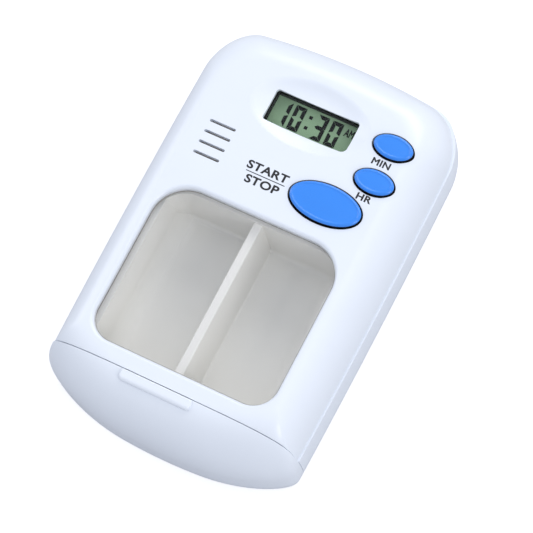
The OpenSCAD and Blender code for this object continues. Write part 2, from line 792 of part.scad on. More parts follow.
// Plate that closes the open rear of the drawer front
module front_plate(plate_t) {
    x = half_w - wall - 2.2;
    translate([0, tray_front_y, 0]) rotate([90, 0, 0]) linear_extrude(plate_t) union() {
        translate([-x + 3, wall + 0.6]) square([2 * x - 6, tray_top_z - wall - 0.6]);
        translate([-x, wall + 3.6]) square([2 * x, tray_top_z - wall - 8.6]);
        for (s = [-1, 1]) {
            translate([s * (x - 3), wall + 3.6]) circle(r = 3, $fn = 48);
            translate([s * (x - 5), tray_top_z - 5]) circle(r = 5, $fn = 48);
        }
    }
}

// Nose piece: one moulded shell, open at the rear, with the pull tab beside the seam
module drawer_front() {
    plate_t = 1.5;
    front_face = seam_y - seam_gap;
    middle = [parting_z, 11.5, 13.5, 15.5];
    levels = concat(low_levels(0), middle, top_levels(0));
    inner = concat(low_levels(wall), middle, top_levels(wall));
    color([0.9, 0.92, 0.97]) difference() {
        union() {
            difference() {
                intersection() {
                    loft([for (z = levels) skin(z, 0, half_w - ledge * max(0, (z - parting_z) / body_h))]);
                    block([-body_w, front_y - 5, -1], [body_w, front_face, body_h + 5]);
                }
                loft([for (z = inner) skin(z, wall, half_w - ledge * max(0, (z - parting_z) / body_h))]);
            }
            for (s = [-1, 1]) intersection() {
                translate([s * 12 - 0.6, front_y + wall / 2, wall / 2])
                    cube([1.2, front_l - wall / 2 - seam_gap - plate_t, body_h - nose_h / 2 - wall]);
                loft([for (z = levels) skin(z, wall / 2, half_w)]);
            }
            pull_tab(front_face);
        }
    }
}

// Rounded bar that the thumb pushes to open the drawer
module pull_tab(rear_y) {
    translate([tab_x, rear_y - tab_d / 2, 0])
        loft([for (i = [0 : 4]) let (a = 90 * i / 4, g = -0.6 * (1 - cos(a)))
            at_height(plan(tab_l / 2 + g, tab_d / 2 + g / 3, -tab_d / 2 - g, 0.35, 0.9 + g, 0),
                body_h - 1.2 + (1.2 + tab_rise) * (i == 0 ? 0 : 0.65 + 0.35 * sin(a)))]);
}

upper_housing();
lower_housing();
window_pane();
display_lens();
lcd_holder();
lcd_glass();
zebra_strip();
circuit_board();
controller_chip();
clock_crystal();
buzzer_coil();
board_capacitors();
tact_switches();
key(start_at, start_w, start_d);  // start_stop_button
key(hour_at, key_w, key_d);  // hour_button
key(minute_at, key_w, key_d);  // minute_button
plunger(start_at);  // start_plunger
plunger(hour_at);  // hour_plunger
plunger(minute_at);  // minute_plunger
piezo_disc();
buzzer_contacts();
button_cell();
positive_contact();
negative_contact();
battery_cap();
case_screws();
board_screws();
drawer_tray();
drawer_front();
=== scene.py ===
import json
import math

import bmesh
import bpy
from mathutils import Matrix, Vector


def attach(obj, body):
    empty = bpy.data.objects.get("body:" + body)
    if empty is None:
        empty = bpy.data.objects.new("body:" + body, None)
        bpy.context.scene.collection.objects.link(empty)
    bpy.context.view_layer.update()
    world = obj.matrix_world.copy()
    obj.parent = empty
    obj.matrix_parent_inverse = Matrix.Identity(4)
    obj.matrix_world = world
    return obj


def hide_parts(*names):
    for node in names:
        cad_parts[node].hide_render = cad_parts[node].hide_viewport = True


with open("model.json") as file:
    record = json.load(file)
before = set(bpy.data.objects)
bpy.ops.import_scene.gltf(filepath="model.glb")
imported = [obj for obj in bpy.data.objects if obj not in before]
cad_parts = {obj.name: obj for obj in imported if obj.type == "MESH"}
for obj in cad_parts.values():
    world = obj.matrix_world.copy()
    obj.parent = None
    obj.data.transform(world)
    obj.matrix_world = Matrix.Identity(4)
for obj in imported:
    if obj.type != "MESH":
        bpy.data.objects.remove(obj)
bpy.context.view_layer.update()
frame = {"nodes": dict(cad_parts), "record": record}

# Room: a white sheet under the box, softboxes on both sides and a pale sky.
# The camera stands 60 cm off on a long lens. The sheet shows white to the camera and through glass,
# and keeps the box's shadow.
scene = bpy.context.scene
scene.view_settings.view_transform = "Standard"
azimuth, elevation, roll = (math.radians(a) for a in (49.195, 68.705, -23.034))
aim, camera_distance = Vector((0, -0.0004, 0.011)), 0.6
toward = Vector((math.sin(azimuth) * math.cos(elevation), -math.cos(azimuth) * math.cos(elevation),
                 math.sin(elevation)))
level = Vector((math.cos(azimuth), math.sin(azimuth), 0))
upright = toward.cross(level)
cam_right = math.cos(roll) * level + math.sin(roll) * upright
cam_up = -math.sin(roll) * level + math.cos(roll) * upright
camera_data = bpy.data.cameras.new("camera")
camera_data.sensor_width = 36
camera_data.lens = 195.09
camera_data.shift_x = 0.0232
camera_data.shift_y = -0.0235
camera_data.clip_start = 0.01
camera = bpy.data.objects.new("camera", camera_data)
scene.collection.objects.link(camera)
turned = Matrix((cam_right, cam_up, toward)).transposed().to_4x4()
camera.matrix_world = Matrix.Translation(aim + camera_distance * toward) @ turned
scene.camera = camera


def new_material(name):
    material = bpy.data.materials.new(name)
    material.use_nodes = True
    nodes, links = material.node_tree.nodes, material.node_tree.links
    nodes.clear()
    output = nodes.new("ShaderNodeOutputMaterial")
    return material, nodes, links, output


def shown_or_lit(nodes, links, bright, lit_shader, output_socket):
    """Lit shader plus a steady white for camera rays and rays through glass."""
    path = nodes.new("ShaderNodeLightPath")
    seen = nodes.new("ShaderNodeMath")
    seen.operation = "MAXIMUM"
    links.new(path.outputs["Is Camera Ray"], seen.inputs[0])
    links.new(path.outputs["Is Transmission Ray"], seen.inputs[1])
    level_node = nodes.new("ShaderNodeMath")
    level_node.operation = "MULTIPLY"
    level_node.inputs[1].default_value = bright
    links.new(seen.outputs[0], level_node.inputs[0])
    glow = nodes.new("ShaderNodeEmission")
    links.new(level_node.outputs[0], glow.inputs["Strength"])
    both = nodes.new("ShaderNodeAddShader")
    links.new(lit_shader, both.inputs[0])
    links.new(glow.outputs[0], both.inputs[1])
    links.new(both.outputs[0], output_socket)


floor_mesh = bpy.data.meshes.new("floor")
reach, below = 3, -5e-5
floor_mesh.from_pydata([(-reach, -reach, below), (reach, -reach, below), (reach, reach, below),
                        (-reach, reach, below)], [], [(0, 1, 2, 3)])
floor = bpy.data.objects.new("floor", floor_mesh)
scene.collection.objects.link(floor)
sheet, nodes, links, output = new_material("paper_sheet")
paper = nodes.new("ShaderNodeBsdfDiffuse")
paper.inputs["Color"].default_value = (0.56, 0.565, 0.585, 1)
sides = nodes.new("ShaderNodeMixShader")
links.new(nodes.new("ShaderNodeNewGeometry").outputs["Backfacing"], sides.inputs[0])
links.new(nodes.new("ShaderNodeBsdfTransparent").outputs[0], sides.inputs[2])
links.new(sides.outputs[0], output.inputs["Surface"])
sheet_glow = 0.6
shown_or_lit(nodes, links, sheet_glow, paper.outputs[0], sides.inputs[1])
floor_mesh.materials.append(sheet)

world = bpy.data.worlds.new("sky")
world.use_nodes = True
scene.world = world
nodes, links = world.node_tree.nodes, world.node_tree.links
nodes.clear()
output = nodes.new("ShaderNodeOutputWorld")
sky = nodes.new("ShaderNodeBackground")
sky.inputs["Color"].default_value = (0.86, 0.9, 1.0, 1)
sky.inputs["Strength"].default_value = 0.67
plain = nodes.new("ShaderNodeBackground")
plain.inputs["Color"].default_value = (1, 1, 1, 1)
path = nodes.new("ShaderNodeLightPath")
pick = nodes.new("ShaderNodeMixShader")
links.new(path.outputs["Is Camera Ray"], pick.inputs[0])
links.new(sky.outputs[0], pick.inputs[1])
links.new(plain.outputs[0], pick.inputs[2])
links.new(pick.outputs[0], output.inputs["Surface"])


def softbox(name, place, size, power, color):
    data = bpy.data.lights.new(name, "AREA")
    data.shape = "RECTANGLE"
    data.size, data.size_y = size
    data.energy = power
    data.color = color
    lamp = bpy.data.objects.new(name, data)
    lamp.location = place
    toward_box = Vector((0, 0, 0.01)) - Vector(place)
    lamp.rotation_euler = toward_box.to_track_quat("-Z", "Y").to_euler()
    scene.collection.objects.link(lamp)


softbox("softbox_rear", (0.1, 0.9, 0.65), (1.0, 0.5), 4.7, (1.0, 0.99, 0.97))
softbox("softbox_left", (-0.85, 0.1, 0.6), (0.4, 0.8), 2.0, (1.0, 0.99, 0.98))
softbox("softbox_right", (0.8, -0.3, 0.55), (0.35, 0.6), 2.9, (1.0, 0.99, 0.98))
softbox("softbox_top", (0.25, 0.15, 1.0), (0.7, 0.7), 0.9, (0.93, 0.96, 1.0))


# Upper housing: white moulded top shell with wide rolled shoulders, about 1.8 mm thick.
# ABS, injection moulded. The opening, the oval dish with the display window, the key holes
# and the sound slots go through its top wall; posts, a collar and drawer stops hang inside.
MM = 0.001
half_w, rear_y, nose_y, top_z, parting_z = 29.3, 46.0, -46.3, 22.2, 10.3
ledge, rear_ledge, wall, seam_y, seam_gap = 0.35, 0.6, 1.8, -36.0, 0.14
ceiling_z = top_z - wall
roll_h, side_roll, rear_roll, nose_roll = 14, 7, 9, 10.15
roll_z = top_z - roll_h
foot_h, foot_in = 5, 1.2
corner_shrink = 0.16
no_bow = (0, 0, 0)


def rolled(z, a, b, top):
    u = min(1.0, (z - (top - b)) / b)
    return 0.0 if u <= 0 else a * (1 - math.sqrt(max(0.0, 1 - u * u)))


def outline(hw, yb, yf, rb, rf, bow=(0.5, 2.8, 3.4), turn=22, across=16, along=10):
    """Plan outline: rear and front edge, elliptical corners rb and rf, bows of sides and ends."""
    def corner(cx, cy, r, a0):
        angles = [math.radians(a0 + 90 * i / turn) for i in range(turn + 1)]
        return [(cx + r[0] * math.cos(a), cy + r[1] * math.sin(a)) for a in angles]

    def straight(p, q, steps):
        return [(p[0] + (q[0] - p[0]) * i / steps, p[1] + (q[1] - p[1]) * i / steps)
                for i in range(1, steps)]

    points = corner(hw - rb[0], yb - rb[1], rb, 0)
    points += straight((hw - rb[0], yb), (rb[0] - hw, yb), across)
    points += corner(rb[0] - hw, yb - rb[1], rb, 90)
    points += straight((-hw, yb - rb[1]), (-hw, yf + rf[1]), along)
    points += corner(rf[0] - hw, yf + rf[1], rf, 180)
    points += straight((rf[0] - hw, yf), (hw - rf[0], yf), across)
    points += corner(hw - rf[0], yf + rf[1], rf, 270)
    points += straight((hw, yf + rf[1]), (hw, yb - rb[1]), along)
    bowed = []
    for x, y in points:
        end = bow[1] * y / yb if y > 0 else bow[2] * y / -yf
        bowed.append((x - bow[0] * (y / rear_y) ** 2 * x / half_w, y - end * (x / half_w) ** 2))
    return bowed


def skin(z, t, hw, yb):
    """Outside of the body at height z, shrunk by t all round."""
    side = t + rolled(z, side_roll - t, roll_h - t, top_z - t)
    rear = t + rolled(z, rear_roll - t / 2, roll_h - t, top_z - t)
    nose = t + rolled(z, nose_roll - t, roll_h - t, top_z - t)
    low = foot_in * (1 - math.sqrt(max(0.0, 1 - max(0.0, (foot_h + t - z) / foot_h) ** 2)))
    rear_r = (8.4 - t - corner_shrink * (side - t), 11.5 - t - corner_shrink * (rear - t))
    nose_r = (19.8 - t, 5.4 - t)
    return at(outline(hw - side - low, yb - rear - low, nose_y + nose + low / 2, rear_r, nose_r), z)


def rolled_levels(t, z0, steps=26):
    """Heights from z0 up over the rolled top edge, closer together near the top."""
    heights = [roll_z + (roll_h - t) * math.sin(math.pi / 2 * i / steps)
               for i in range(1, steps + 1)]
    return [z0] + [z for z in heights if z > z0 + 0.25]


def at(points, z, move=(0, 0)):
    return [(p[0] + move[0], p[1] + move[1], z) for p in points]


def piece_from(name, rings):
    """Closed solid through a stack of rings in millimetres, all with the same number of points."""
    n = len(rings[0])
    verts = [(p[0] * MM, p[1] * MM, p[2] * MM) for ring in rings for p in ring]
    faces = [list(range(n))[::-1], [(len(rings) - 1) * n + j for j in range(n)]]
    for i in range(len(rings) - 1):
        for j in range(n):
            k = (j + 1) % n
            faces.append([i * n + j, i * n + k, (i + 1) * n + k, (i + 1) * n + j])
    mesh = bpy.data.meshes.new(name)
    mesh.from_pydata(verts, [], faces)
    piece = bpy.data.objects.new(name, mesh)
    scene.collection.objects.link(piece)
    return piece


def block(name, low, high):
    corners = [(low[0], low[1]), (high[0], low[1]), (high[0], high[1]), (low[0], high[1])]
    return piece_from(name, [at(corners, low[2]), at(corners, high[2])])


def ellipse(a, b, n=96):
    angles = [2 * math.pi * i / n for i in range(n)]
    return [(a * math.cos(t), b * math.sin(t)) for t in angles]


def evaluated_mesh(piece):
    graph = bpy.context.evaluated_depsgraph_get()
    return bpy.data.meshes.new_from_object(piece.evaluated_get(graph))


def combine(piece, tools, operation="DIFFERENCE"):
    """Boolean with each tool in turn, made a plain mesh; the tools are removed."""
    for tool in tools:
        step = piece.modifiers.new(tool.name, "BOOLEAN")
        step.operation, step.solver, step.object = operation, "EXACT", tool
    made = evaluated_mesh(piece)
    piece.modifiers.clear()
    piece.data = made
    for tool in tools:
        bpy.data.objects.remove(tool)


def soft_hole(name, grown, z0, top, r, move=(0, 0), steps=6):
    """Tool for a hole whose upper edge is rounded by r; grown(g) is its outline grown by g."""
    rings = [at(grown(0), z0, move)]
    for i in range(steps + 1):
        a = math.pi / 2 * i / steps
        rings.append(at(grown(r * (1 - math.cos(a))), top - r + r * math.sin(a), move))
    rings.append(at(grown(r), top + 1.5, move))
    return piece_from(name, rings)


def finish_edges(piece, angle=35):
    """Smooth shading with sharp edges kept, and flat faces left flat."""
    work = bmesh.new()
    work.from_mesh(piece.data)
    bmesh.ops.remove_doubles(work, verts=work.verts, dist=2e-7)
    for face in work.faces:
        face.smooth = True
    for edge in work.edges:
        edge.smooth = len(edge.link_faces) == 2 and edge.calc_face_angle(0) < math.radians(angle)
    work.to_mesh(piece.data)
    work.free()
    even = piece.modifiers.new("even", "WEIGHTED_NORMAL")
    even.keep_sharp = True
    even.weight = 80
    made = evaluated_mesh(piece)
    piece.modifiers.clear()
    piece.data = made


opening_half, opening_reach, opening_mid = 21, 18.3, -13.9


def opening_outline(g):
    back_r, front_r = 8.0 + g, 5.5 + g
    plan = outline(opening_half + g, opening_reach + g, -opening_reach - g,
                   (back_r, back_r), (front_r, front_r), no_bow, 14, 2, 2)
    return [(x, y + opening_mid) for x, y in plan]


def window_outline(w=9.7, d=3.7, r=0.7, corner_r=1.2, turn=6):
    points = []
    for sx, sy, a0, cr in ((1, 1, 0, r), (-1, 1, 90, r), (-1, -1, 180, r), (1, -1, 270, corner_r)):
        for i in range(turn + 1):
            a = math.radians(a0 + 90 * i / turn)
            points.append((sx * (w - cr) + cr * math.cos(a), sy * (d - cr) + cr * math.sin(a)))
    return points


def soften(piece, picked, r, segments=3, merge=2e-5):
    """Round the edges that picked(ends, edge) names by r millimetres."""
    work = bmesh.new()
    work.from_mesh(piece.data)
    bmesh.ops.remove_doubles(work, verts=work.verts, dist=merge)
    rim = [edge for edge in work.edges
           if len(edge.link_faces) == 2 and picked([v.co * 1000 for v in edge.verts], edge)]
    bmesh.ops.bevel(work, geom=rim, offset=r * MM, segments=segments, profile=0.5,
                    affect="EDGES", clamp_overlap=True)
    work.to_mesh(piece.data)
    work.free()


def outer_rim(y):
    """Edges of the cut at y that lie on the outside of the shell."""
    def picked(ends, edge):
        if any(abs(end.y - y) > 2e-3 for end in ends) or edge.calc_face_angle(0) < 0.5:
            return False
        mid = (ends[0] + ends[1]) / 2
        across = [f.normal for f in edge.link_faces if abs(f.normal.y) < 0.95]
        return bool(across) and all(n.x * mid.x / 20 + n.z * (mid.z - 10) / 10 > 0 for n in across)
    return picked


def disc(name, centre, r, z0, z1, n=64):
    return piece_from(name, [at(ellipse(r, r, n), z0, centre), at(ellipse(r, r, n), z1, centre)])


case_screw_at = [(-24.4, 12.4), (24.4, 12.4), (-23.9, 34.5), (23.9, 34.5)]
board_screw_at = [(-18, 36.5), (19, 37), (-2, 12.5)]
display_at = (0.4, 27.75)
dish_at = (0.0, 28.4)
start_at, hour_at, minute_at = (11.7, 12.4), (18.7, 20.8), (18.9, 29.2)
slots_at = (-15.8, 15.4)
upper_w, upper_l = half_w - ledge, rear_y - rear_ledge

rim_rings = [skin(parting_z, 0.14, upper_w, upper_l),
             skin(parting_z + 0.05, 0.05, upper_w, upper_l)]
upper = piece_from("upper_shell", rim_rings + [
    skin(z, 0, upper_w, upper_l) for z in rolled_levels(0, parting_z + 0.18)])
inside = piece_from("inside", [
    skin(z, wall, upper_w, upper_l) for z in rolled_levels(wall, parting_z - 1, 12)])
combine(upper, [block("seam_cut", (-40, -60, -2), (40, seam_y, 30)), inside])
soften(upper, outer_rim(seam_y), 0.09, 2)
hung = [disc("case_post", p, 2.4, parting_z, 17, 48) for p in case_screw_at]
hung += [disc("board_post", p, 2.0, 13.6, ceiling_z + 0.1, 48) for p in board_screw_at]
hung += [disc("collar", slots_at, 6.4, ceiling_z - 1.8, ceiling_z + 0.1)]
for x0, x1 in ((-26.6, -22.1), (22.1, 26.6)):
    hung.append(block("drawer_stop", (x0, -33.7, parting_z + 0.1), (x1, -32, 17)))
combine(upper, hung, "UNION")
bores = [disc("case_bore", p, 0.95, parting_z - 1, 14.9, 32) for p in case_screw_at]
bores += [disc("board_bore", p, 0.75, 12, 17.6, 32) for p in board_screw_at]
bores += [disc("disc_seat", slots_at, 5.6, ceiling_z - 3, ceiling_z - 0.6),
          disc("sound_room", slots_at, 4.8, ceiling_z - 1, ceiling_z)]
combine(upper, bores)

dish_half, dish_reach = 13.85, 7.75
dish_profile = (
    (7.4, 1.1), (4.1, 1.1), (3.9, 1.08), (3.6, 1.05), (3.2, 1.0), (2.4, 0.84), (1.6, 0.56),
    (0.9, 0.26), (0.6, 0.14), (0.3, 0.05), (0.1, 0.012), (-0.1, 0), (-0.12, -1))
dish_tool = piece_from("dish", [
    at(ellipse(dish_half - 1.7 * e, dish_reach - e), top_z - drop, dish_at)
    for e, drop in dish_profile])
window_tool = piece_from("window", [
    at(window_outline(), ceiling_z - 3, display_at), at(window_outline(), top_z + 1, display_at)])
start_hole, small_hole = (8.4, 4.5), (4.72, 2.92)
combine(upper, [
    soft_hole("opening", opening_outline, ceiling_z - 3, top_z, 0.9),
    dish_tool, window_tool,
    block("lens_pocket", (display_at[0] - 11.3, display_at[1] - 5.0, ceiling_z - 1),
          (display_at[0] + 11.3, display_at[1] + 5.0, ceiling_z + 0.25)),
    *(soft_hole(name, lambda g, hole=hole: ellipse(hole[0] + g, hole[1] + g), ceiling_z - 1, top_z,
                0.1, (centre[0] - 0.06, centre[1] - 0.05))
      for name, hole, centre in (("start_hole", start_hole, start_at),
                                 ("hour_hole", small_hole, hour_at),
                                 ("minute_hole", small_hole, minute_at))),
])


# Sound slots: four narrow slots over the buzzer.
# Their tool is one rounded bar repeated on a line.
slot_tree = bpy.data.node_groups.new("sound_slots", "GeometryNodeTree")
slot_tree.interface.new_socket("Geometry", in_out="OUTPUT", socket_type="NodeSocketGeometry")
slot_sizes = {"Length": 0.0061, "Width": 0.00062, "Depth": 0.005, "Pitch": 0.0025, "Count": 4}
for name in slot_sizes:
    kind = "NodeSocketInt" if name == "Count" else "NodeSocketFloat"
    slot_tree.interface.new_socket(name, in_out="INPUT", socket_type=kind)
slot_tree.interface.new_socket("Material", in_out="INPUT", socket_type="NodeSocketMaterial")
nodes, links = slot_tree.nodes, slot_tree.links
given, made = nodes.new("NodeGroupInput"), nodes.new("NodeGroupOutput")
edge = nodes.new("GeometryNodeCurvePrimitiveQuadrilateral")
links.new(given.outputs["Length"], edge.inputs["Width"])
links.new(given.outputs["Width"], edge.inputs["Height"])
half = nodes.new("ShaderNodeMath")
half.operation = "MULTIPLY"
half.inputs[1].default_value = 0.499
links.new(given.outputs["Width"], half.inputs[0])
round_ends = nodes.new("GeometryNodeFilletCurve")
round_ends.mode = "POLY"
round_ends.inputs["Count"].default_value = 8
links.new(edge.outputs[0], round_ends.inputs["Curve"])
links.new(half.outputs[0], round_ends.inputs["Radius"])
face = nodes.new("GeometryNodeFillCurve")
face.mode = "NGONS"
links.new(round_ends.outputs[0], face.inputs[0])
raised = nodes.new("GeometryNodeExtrudeMesh")
raised.inputs["Individual"].default_value = False
links.new(face.outputs[0], raised.inputs["Mesh"])
links.new(given.outputs["Depth"], raised.inputs["Offset Scale"])
under = nodes.new("GeometryNodeFlipFaces")
links.new(face.outputs[0], under.inputs[0])
bar = nodes.new("GeometryNodeJoinGeometry")
links.new(under.outputs[0], bar.inputs[0])
links.new(raised.outputs["Mesh"], bar.inputs[0])
closed = nodes.new("GeometryNodeMergeByDistance")
closed.inputs["Distance"].default_value = 1e-6
links.new(bar.outputs[0], closed.inputs["Geometry"])
row = nodes.new("GeometryNodeMeshLine")
step = nodes.new("ShaderNodeCombineXYZ")
links.new(given.outputs["Pitch"], step.inputs[1])
links.new(given.outputs["Count"], row.inputs["Count"])
links.new(step.outputs[0], row.inputs["Offset"])
slots = nodes.new("GeometryNodeInstanceOnPoints")
links.new(row.outputs[0], slots.inputs["Points"])
links.new(closed.outputs[0], slots.inputs["Instance"])
real = nodes.new("GeometryNodeRealizeInstances")
links.new(slots.outputs[0], real.inputs[0])
finish = nodes.new("GeometryNodeSetMaterial")
links.new(real.outputs[0], finish.inputs["Geometry"])
links.new(given.outputs["Material"], finish.inputs["Material"])
links.new(finish.outputs[0], made.inputs[0])


def grow(name, tree, values):
    """Plain mesh object from a Geometry Nodes tree with its inputs set by name."""
    holder = bpy.data.objects.new(name, bpy.data.meshes.new(name))
    scene.collection.objects.link(holder)
    grown = holder.modifiers.new(name, "NODES")
    grown.node_group = tree
    for item in tree.interface.items_tree:
        if item.item_type == "SOCKET" and item.in_out == "INPUT" and item.name in values:
            grown[item.identifier] = values[item.name]
    plain = evaluated_mesh(holder)
    holder.modifiers.clear()
    holder.data = plain
    work = bmesh.new()
    work.from_mesh(plain)
    bmesh.ops.recalc_face_normals(work, faces=work.faces)
    work.to_mesh(plain)
    work.free()
    return holder


slot_tool = grow("slots", slot_tree, slot_sizes)
half_row = 3.75
lift = (ceiling_z - 1) * MM - min(v.co.z for v in slot_tool.data.vertices)
slot_tool.data.transform(
    Matrix.Translation((slots_at[0] * MM, (slots_at[1] - half_row) * MM, lift)))
combine(upper, [slot_tool])
finish_edges(upper)
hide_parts("upper_housing")
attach(upper, "housing")


# White shell plastic: semi-gloss ABS with a fine spark-eroded grain, bluish white.
# The grain is too small to see apart; it breaks up the gloss and gives a faint mottle.
def moulded_group():
    group = bpy.data.node_groups.new("moulded_surface", "ShaderNodeTree")
    number = "NodeSocketFloat"
    sockets = (("Color", "NodeSocketColor", (0.8, 0.8, 0.8, 1)), ("Mottle", number, 0.02),
               ("Cloud Scale", number, 120.0), ("Grain Scale", number, 2600.0),
               ("Roughness", number, 0.3), ("Rough Spread", number, 0.05),
               ("Grain Height", number, 1.0))
    for name, kind, value in sockets:
        group.interface.new_socket(name, in_out="INPUT", socket_type=kind).default_value = value
    for name, kind in (("Color", "NodeSocketColor"), ("Roughness", number), ("Height", number)):
        group.interface.new_socket(name, in_out="OUTPUT", socket_type=kind)
    nodes, links = group.nodes, group.links
    given, made = nodes.new("NodeGroupInput"), nodes.new("NodeGroupOutput")
    place = nodes.new("ShaderNodeTexCoord")
    cloud = nodes.new("ShaderNodeTexNoise")
    cloud.inputs["Detail"].default_value = 3
    links.new(place.outputs["Object"], cloud.inputs["Vector"])
    links.new(given.outputs["Cloud Scale"], cloud.inputs["Scale"])
    grain = nodes.new("ShaderNodeTexNoise")
    grain.inputs["Detail"].default_value = 2
    links.new(place.outputs["Object"], grain.inputs["Vector"])
    links.new(given.outputs["Grain Scale"], grain.inputs["Scale"])

    def math_node(operation, a, b):
        node = nodes.new("ShaderNodeMath")
        node.operation = operation
        for socket, value in zip(node.inputs, (a, b)):
            if isinstance(value, float):
                socket.default_value = value
            else:
                links.new(value, socket)
        return node.outputs[0]

    swing = math_node("SUBTRACT", cloud.outputs["Fac"], 0.5)
    shade = math_node("ADD", math_node("MULTIPLY", swing, given.outputs["Mottle"]), 1.0)
    tint = nodes.new("ShaderNodeVectorMath")
    tint.operation = "SCALE"
    links.new(given.outputs["Color"], tint.inputs[0])
    links.new(shade, tint.inputs["Scale"])
    links.new(tint.outputs[0], made.inputs["Color"])
    both = math_node("ADD", swing, math_node("SUBTRACT", grain.outputs["Fac"], 0.5))
    uneven = math_node("MULTIPLY", both, given.outputs["Rough Spread"])
    links.new(math_node("ADD", uneven, given.outputs["Roughness"]), made.inputs["Roughness"])
    height = math_node("MULTIPLY", grain.outputs["Fac"], given.outputs["Grain Height"])
    links.new(height, made.inputs["Height"])
    return group


moulded = moulded_group()


def plastic(name, color, rough, spread=0.05, mottle=0.03, grain=2600.0, cloud=120.0, bump=2e-6,
            **constants):
    """Moulded finish: the group's colour, roughness and grain on one Principled shader."""
    material, nodes, links, output = new_material(name)
    shader = nodes.new("ShaderNodeBsdfPrincipled")
    for socket, value in constants.items():
        shader.inputs[socket.replace("_", " ")].default_value = value
    surface = nodes.new("ShaderNodeGroup")
    surface.node_tree = moulded
    for socket, value in (("Color", (*color, 1)), ("Mottle", mottle), ("Cloud Scale", cloud),
                          ("Grain Scale", grain), ("Roughness", rough), ("Rough Spread", spread)):
        surface.inputs[socket].default_value = value
    relief = nodes.new("ShaderNodeBump")
    relief.inputs["Distance"].default_value = bump
    relief.inputs["Strength"].default_value = 1
    links.new(surface.outputs["Color"], shader.inputs["Base Color"])
    links.new(surface.outputs["Roughness"], shader.inputs["Roughness"])
    links.new(surface.outputs["Height"], relief.inputs["Height"])
    links.new(relief.outputs[0], shader.inputs["Normal"])
    links.new(shader.outputs[0], output.inputs["Surface"])
    return material


shell_white = plastic("shell_white", (0.80, 0.845, 0.915), 0.32, IOR=1.5, Coat_Weight=0.15,
                      Coat_Roughness=0.12)


def dress(piece, *materials):
    piece.data.materials.clear()
    for material in materials:
        piece.data.materials.append(material)


dress(upper, shell_white)


# Lower housing: white bottom shell, a little wider, so its rim shows as a light ledge.
# Same ABS. Its base has the four screw wells and the round recess of the battery cap.
low_levels = [foot_h * (1 - math.cos(math.pi / 2 * i / 10)) for i in range(11)]
outer_rings = [skin(z, 0, half_w, rear_y) for z in low_levels + [7.5, parting_z - 0.16]]
lower = piece_from("lower_shell", outer_rings + [
    skin(parting_z - 0.05, 0.04, half_w, rear_y), skin(parting_z, 0.15, half_w, rear_y)])
inner_rings = [skin(z, wall, upper_w, upper_l)
               for z in (wall, wall + 0.7, wall + 1.8, wall + 3.2, wall + 5, parting_z + 1)]
combine(lower, [block("seam_cut", (-40, -60, -2), (40, seam_y, 30)),
                piece_from("inside", inner_rings)])
soften(lower, outer_rim(seam_y), 0.09, 2)


cell_at = (-10.0, 27.0)
solids = [disc(f"post_{i}", p, 3.2, 0.5, parting_z) for i, p in enumerate(case_screw_at)]
solids += [block("cross_wall", (-28, 8.4, 0.9), (28, 9.4, parting_z))]
solids += [disc("cap_ring", cell_at, 10.3, 0.5, 5.4), disc("cell_ring", cell_at, 7.3, 1, 8.55)]
for s in (-1, 1):
    solids.append(block("floor_rib", (s * 13 - 0.6, seam_y, 0.9), (s * 13 + 0.6, 8.1, 4.7)))
    x = sorted((s * 21.9, s * 23.1))
    solids.append(block("side_rib", (x[0], seam_y, 0.9), (x[1], 8.1, 9.7)))
combine(lower, solids, "UNION")
wells = []
for i, p in enumerate(case_screw_at):
    wells += [disc(f"well_{i}", p, 2.15, -1, 4.4, 48), disc(f"shank_{i}", p, 1.1, 0, 11.4, 32)]
wells += [disc("cap_well", cell_at, 8.8, -1, 1.8), disc("boss_well", cell_at, 6.7, -1, 5),
          disc("lug_groove", cell_at, 8.2, 2.6, 4.0), disc("cell_well", cell_at, 6.1, 0, 11)]
combine(lower, wells)
finish_edges(lower)
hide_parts("lower_housing")
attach(lower, "housing")
dress(lower, shell_white)


# Drawer front: the rounded nose that closes the front end, one moulded shell, open behind.
# The raised bar beside the seam is the pull tab; the rear edge has a small radius.
front_y = seam_y - seam_gap
nose_levels = low_levels + [6.2, 7.4, 8.2] + rolled_levels(0, 8.6)


def nose_half(z):
    return half_w - ledge * max(0.0, (z - parting_z) / top_z)


front = piece_from("nose", [skin(z, 0, nose_half(z), rear_y) for z in nose_levels])
inner_levels = [wall + foot_h * (1 - math.cos(math.pi / 2 * i / 8)) for i in range(9)]
inner_levels += rolled_levels(wall, 8.6)
combine(front, [block("rear_cut", (-40, front_y, -2), (40, 60, 30)),
                piece_from("inside", [skin(z, wall, nose_half(z), rear_y) for z in inner_levels])])
soften(front, outer_rim(front_y), 0.12)
finish_edges(front)

tab_half, tab_rear, tab_front, tab_x = 8.25, 1.05, -1.4, -1.6
tab_rings = []
for z, g in ((21.0, 0.0), (22.2, 0.0), (22.35, 0.03), (22.5, 0.12), (22.62, 0.24), (22.72, 0.42),
             (22.78, 0.62), (22.8, 0.8)):
    rear_r, front_r = max(0.1, 0.5 - g * 0.3), max(0.15, 0.9 - g * 0.6)
    tab_plan = outline(tab_half - g * 0.8, tab_rear - g * 0.45, tab_front + g * 1.1,
                       (rear_r, rear_r), (front_r, front_r), no_bow, 8, 8, 3)
    tab_rings.append(at(tab_plan, z, (tab_x, front_y - tab_rear)))
tab = piece_from("pull_tab", tab_rings)
finish_edges(tab, 50)
for piece in (front, tab):
    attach(piece, "drawer")
    dress(piece, shell_white)
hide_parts("drawer_front")


# Drawer tray: two compartments with finger scoops along the sides and a divider between.
# Moulded in a warmer white with a satin finish; arms behind it carry the stop lugs.
tray_floor, tray_half, scoop_r, floor_half, tray_top = 6.3, 20.0, 4.5, 15.0, 19.2
in_back, in_front, tray_wall = 3.9, -31.6, 1.3


